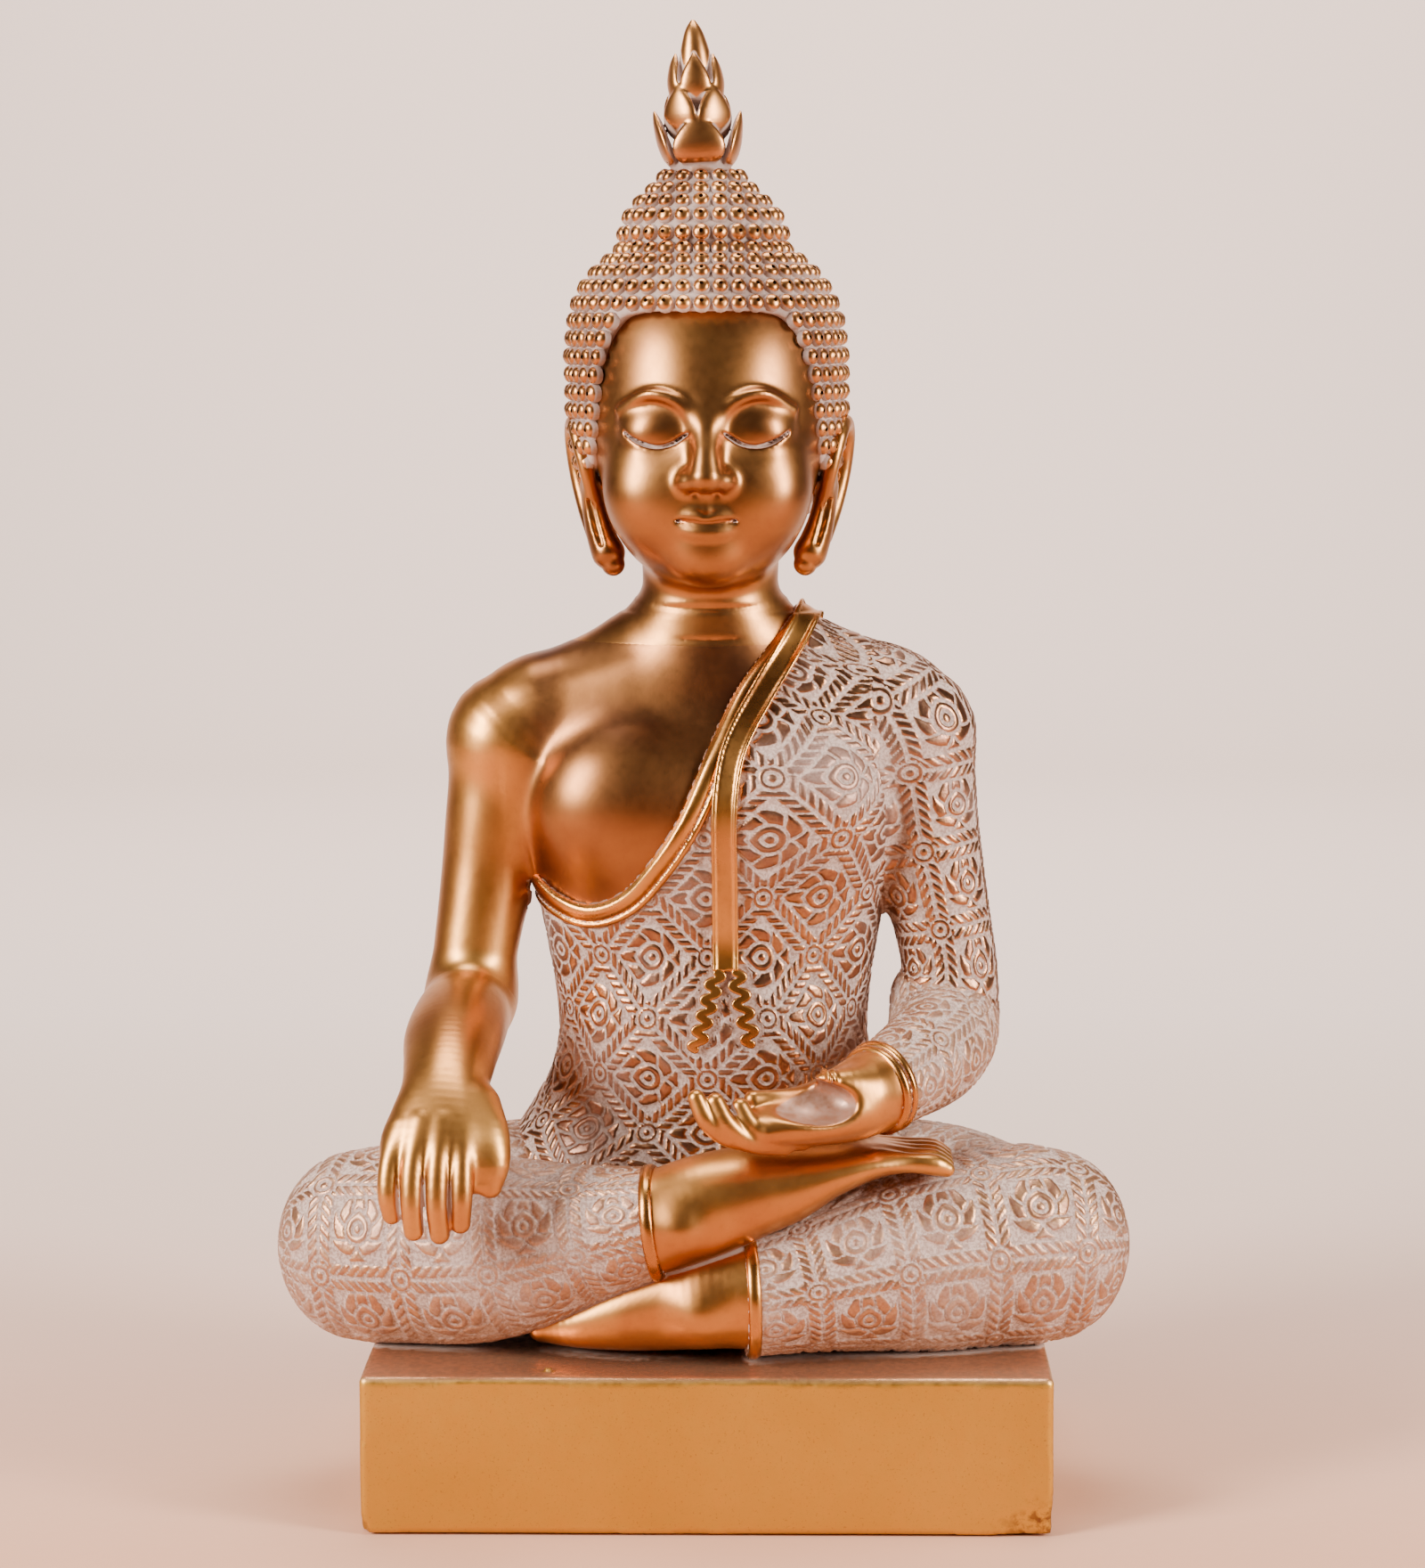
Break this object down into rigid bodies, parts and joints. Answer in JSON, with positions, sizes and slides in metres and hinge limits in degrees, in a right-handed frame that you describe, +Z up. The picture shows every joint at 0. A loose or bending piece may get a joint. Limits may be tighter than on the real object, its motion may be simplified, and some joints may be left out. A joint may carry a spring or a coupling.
{
  "type": "seated buddha statue",
  "caption": "Seated figure in a patterned robe on a plain rectangular plinth, one hand on the knee and one in the lap, with a flame-shaped finial.",
  "frame": {"origin": "centre of the felt face that the statue stands on", "axes": "+Z up; the figure faces -Y; +X is the figure's left-hand side, where the hand lies in the lap"},
  "size_m": [0.1714, 0.0936, 0.296],
  "materials": {
    "plinth_gold": "satin antique gold paint on cast resin",
    "antique_gold": "burnished antique gold paint on cast resin",
    "torso_gold_and_wash": "antique gold skin and white-washed gold relief on cast resin",
    "washed_relief": "white-washed gold relief on cast resin",
    "board": "plain",
    "felt": "felt",
    "steel_pin": "bright"
  },
  "bodies": {
    "root": {"plinth_shell": "plinth_gold", "base_board": "board", "base_felt": "felt", "legs_casting": "washed_relief", "right_foot": "antique_gold", "left_foot": "antique_gold", "torso_casting": "torso_gold_and_wash", "right_forearm": "antique_gold", "left_forearm_sleeve": "washed_relief", "left_hand": "antique_gold", "head_casting": "antique_gold", "crown_finial": "antique_gold", "neck_dowel": "steel_pin", "finial_dowel": "steel_pin", "right_elbow_dowel": "steel_pin", "left_elbow_dowel": "steel_pin", "left_wrist_dowel": "steel_pin", "right_ankle_dowel": "steel_pin", "left_ankle_dowel": "steel_pin", "right_waist_dowel": "steel_pin", "left_waist_dowel": "steel_pin", "right_plinth_dowel": "steel_pin", "left_plinth_dowel": "steel_pin"}
  },
  "joints": []
}
